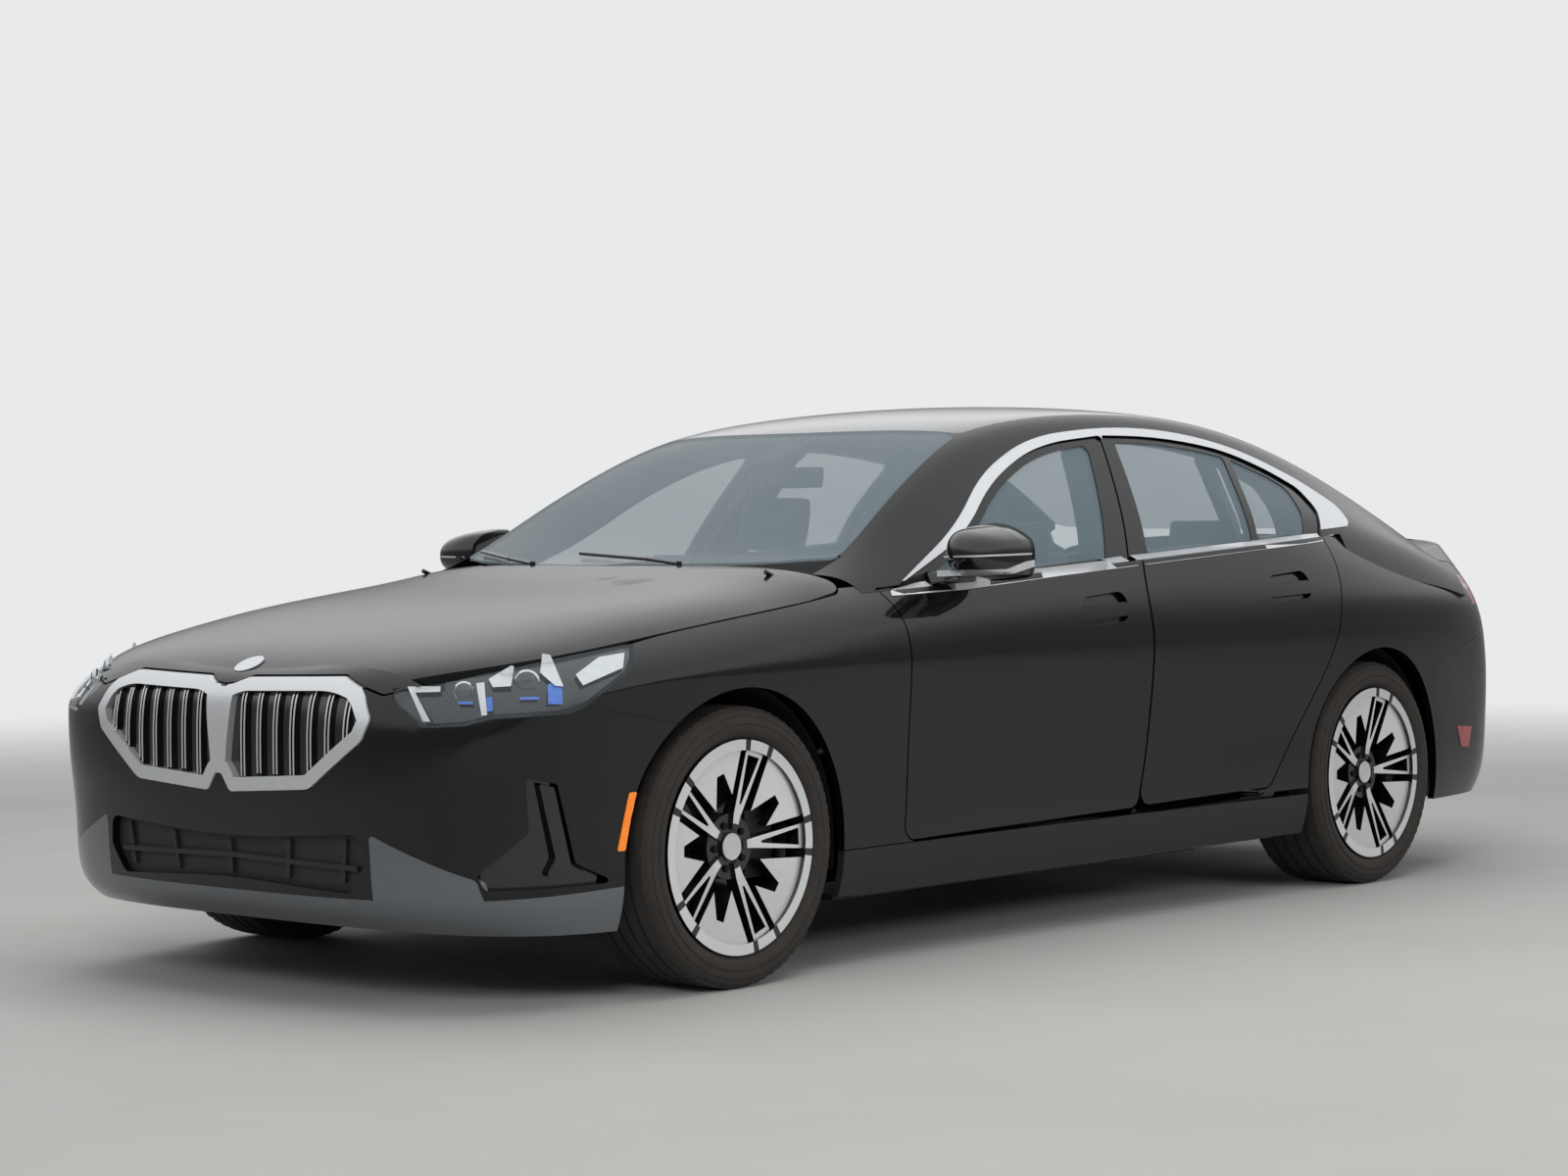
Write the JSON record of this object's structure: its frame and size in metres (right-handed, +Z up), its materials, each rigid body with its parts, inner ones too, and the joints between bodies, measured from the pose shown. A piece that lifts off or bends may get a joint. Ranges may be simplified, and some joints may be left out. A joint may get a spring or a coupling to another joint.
{
  "type": "four-door saloon car",
  "caption": "Four-door saloon car with turning and steered wheels, opening doors, bonnet and boot lid, and a hollow cabin.",
  "frame": {"origin": "on the ground under the middle of the car", "axes": "+X towards the tail, +Y to the car's own right, +Z up"},
  "size_m": [5.0589, 2.184, 1.5136],
  "materials": {
    "alloy": "satin",
    "black_plastic": "gloss black",
    "bright": "satin bright",
    "cabin": "soft matt",
    "glass": "tinted",
    "grey_plastic": "grained",
    "lamp": "clear",
    "paint": "gloss black",
    "red_lamp": "gloss red",
    "steel": "coated",
    "tyre": "matt"
  },
  "bodies": {
    "car": {"air_curtains": "black_plastic", "battery_pack": "steel", "bay_cover": "grey_plastic", "cowl": "grey_plastic", "dashboard": "cabin", "diffuser": "grey_plastic", "drive_unit": "steel", "floor_pan": "steel", "front_bumper": "paint", "front_fenders": "paint", "front_liners": "grey_plastic", "front_lip": "grey_plastic", "front_seats": "cabin", "front_structure": "steel", "front_suspension": "steel", "grille_bars": "black_plastic", "grille_surround": "bright", "headlamps": "lamp", "lower_grille": "black_plastic", "parcel_shelf": "cabin", "rear_bench": "cabin", "rear_bumper": "paint", "rear_liners": "grey_plastic", "rear_quarters": "paint", "rear_suspension": "steel", "rear_window": "glass", "roof_panel": "black_plastic", "side_frames": "paint", "sill_skirts": "grey_plastic", "tail_lamps": "red_lamp", "window_surrounds": "bright", "windscreen": "glass", "wipers": "grey_plastic"},
    "front_right_door": {"front_right_door": "paint", "front_right_glass": "glass", "right_mirror": "black_plastic"},
    "front_right_wheel": {"front_right_rim": "alloy", "front_right_tyre": "tyre"},
    "front_left_door": {"front_left_door": "paint", "front_left_glass": "glass", "left_mirror": "black_plastic"},
    "front_left_wheel": {"front_left_rim": "alloy", "front_left_tyre": "tyre"},
    "rear_right_door": {"rear_right_door": "paint", "rear_right_glass": "glass"},
    "rear_right_wheel": {"rear_right_rim": "alloy", "rear_right_tyre": "tyre"},
    "rear_left_door": {"rear_left_door": "paint", "rear_left_glass": "glass"},
    "rear_left_wheel": {"rear_left_rim": "alloy", "rear_left_tyre": "tyre"},
    "right_hub": {"right_knuckle": "steel"},
    "left_hub": {"left_knuckle": "steel"},
    "bonnet": {"bonnet": "paint"},
    "boot_lid": {"boot_lid": "paint"},
    "steering": {"steering_wheel": "cabin"}
  },
  "joints": [
    {"name": "steering_turn", "type": "hinge", "parent": "car", "child": "steering", "pos_m": [-0.69, -0.37, 0.875], "axis": [0.9135, 0, 0.4067], "range_deg": [-462, 462]},
    {"name": "right_steer", "type": "hinge", "parent": "car", "child": "right_hub", "pos_m": [-1.63, 0.755, 0.352], "axis": [0, 0, 1], "range_deg": [-33, 33]},
    {"name": "left_steer", "type": "hinge", "parent": "car", "child": "left_hub", "pos_m": [-1.63, -0.755, 0.352], "axis": [0, 0, 1], "range_deg": [-33, 33]},
    {"name": "front_right_spin", "type": "hinge", "parent": "right_hub", "child": "front_right_wheel", "pos_m": [-1.63, 0.806, 0.352], "axis": [0, 1, 0], "continuous": true},
    {"name": "rear_right_spin", "type": "hinge", "parent": "car", "child": "rear_right_wheel", "pos_m": [1.365, 0.794, 0.352], "axis": [0, 1, 0], "continuous": true},
    {"name": "front_left_spin", "type": "hinge", "parent": "left_hub", "child": "front_left_wheel", "pos_m": [-1.63, -0.806, 0.352], "axis": [0, 1, 0], "continuous": true},
    {"name": "rear_left_spin", "type": "hinge", "parent": "car", "child": "rear_left_wheel", "pos_m": [1.365, -0.794, 0.352], "axis": [0, 1, 0], "continuous": true},
    {"name": "front_right_door_hinge", "type": "hinge", "parent": "car", "child": "front_right_door", "pos_m": [-0.905, 0.885, 0.655], "axis": [0, 0, 1], "range_deg": [0, 65]},
    {"name": "front_left_door_hinge", "type": "hinge", "parent": "car", "child": "front_left_door", "pos_m": [-0.905, -0.885, 0.655], "axis": [0, 0, -1], "range_deg": [0, 65]},
    {"name": "rear_right_door_hinge", "type": "hinge", "parent": "car", "child": "rear_right_door", "pos_m": [0.205, 0.885, 0.655], "axis": [0, 0, 1], "range_deg": [0, 65]},
    {"name": "rear_left_door_hinge", "type": "hinge", "parent": "car", "child": "rear_left_door", "pos_m": [0.205, -0.885, 0.655], "axis": [0, 0, -1], "range_deg": [0, 65]},
    {"name": "bonnet_hinge", "type": "hinge", "parent": "car", "child": "bonnet", "pos_m": [-1.085, 0, 0.995], "axis": [0, 1, 0], "range_deg": [0, 50]},
    {"name": "boot_hinge", "type": "hinge", "parent": "car", "child": "boot_lid", "pos_m": [1.7, 0, 1.03], "axis": [0, -1, 0], "range_deg": [0, 75]}
  ],
  "couplings": [
    {"joint": "right_steer", "follows": "steering_turn", "ratio": 0.071429},
    {"joint": "left_steer", "follows": "steering_turn", "ratio": 0.071429}
  ]
}
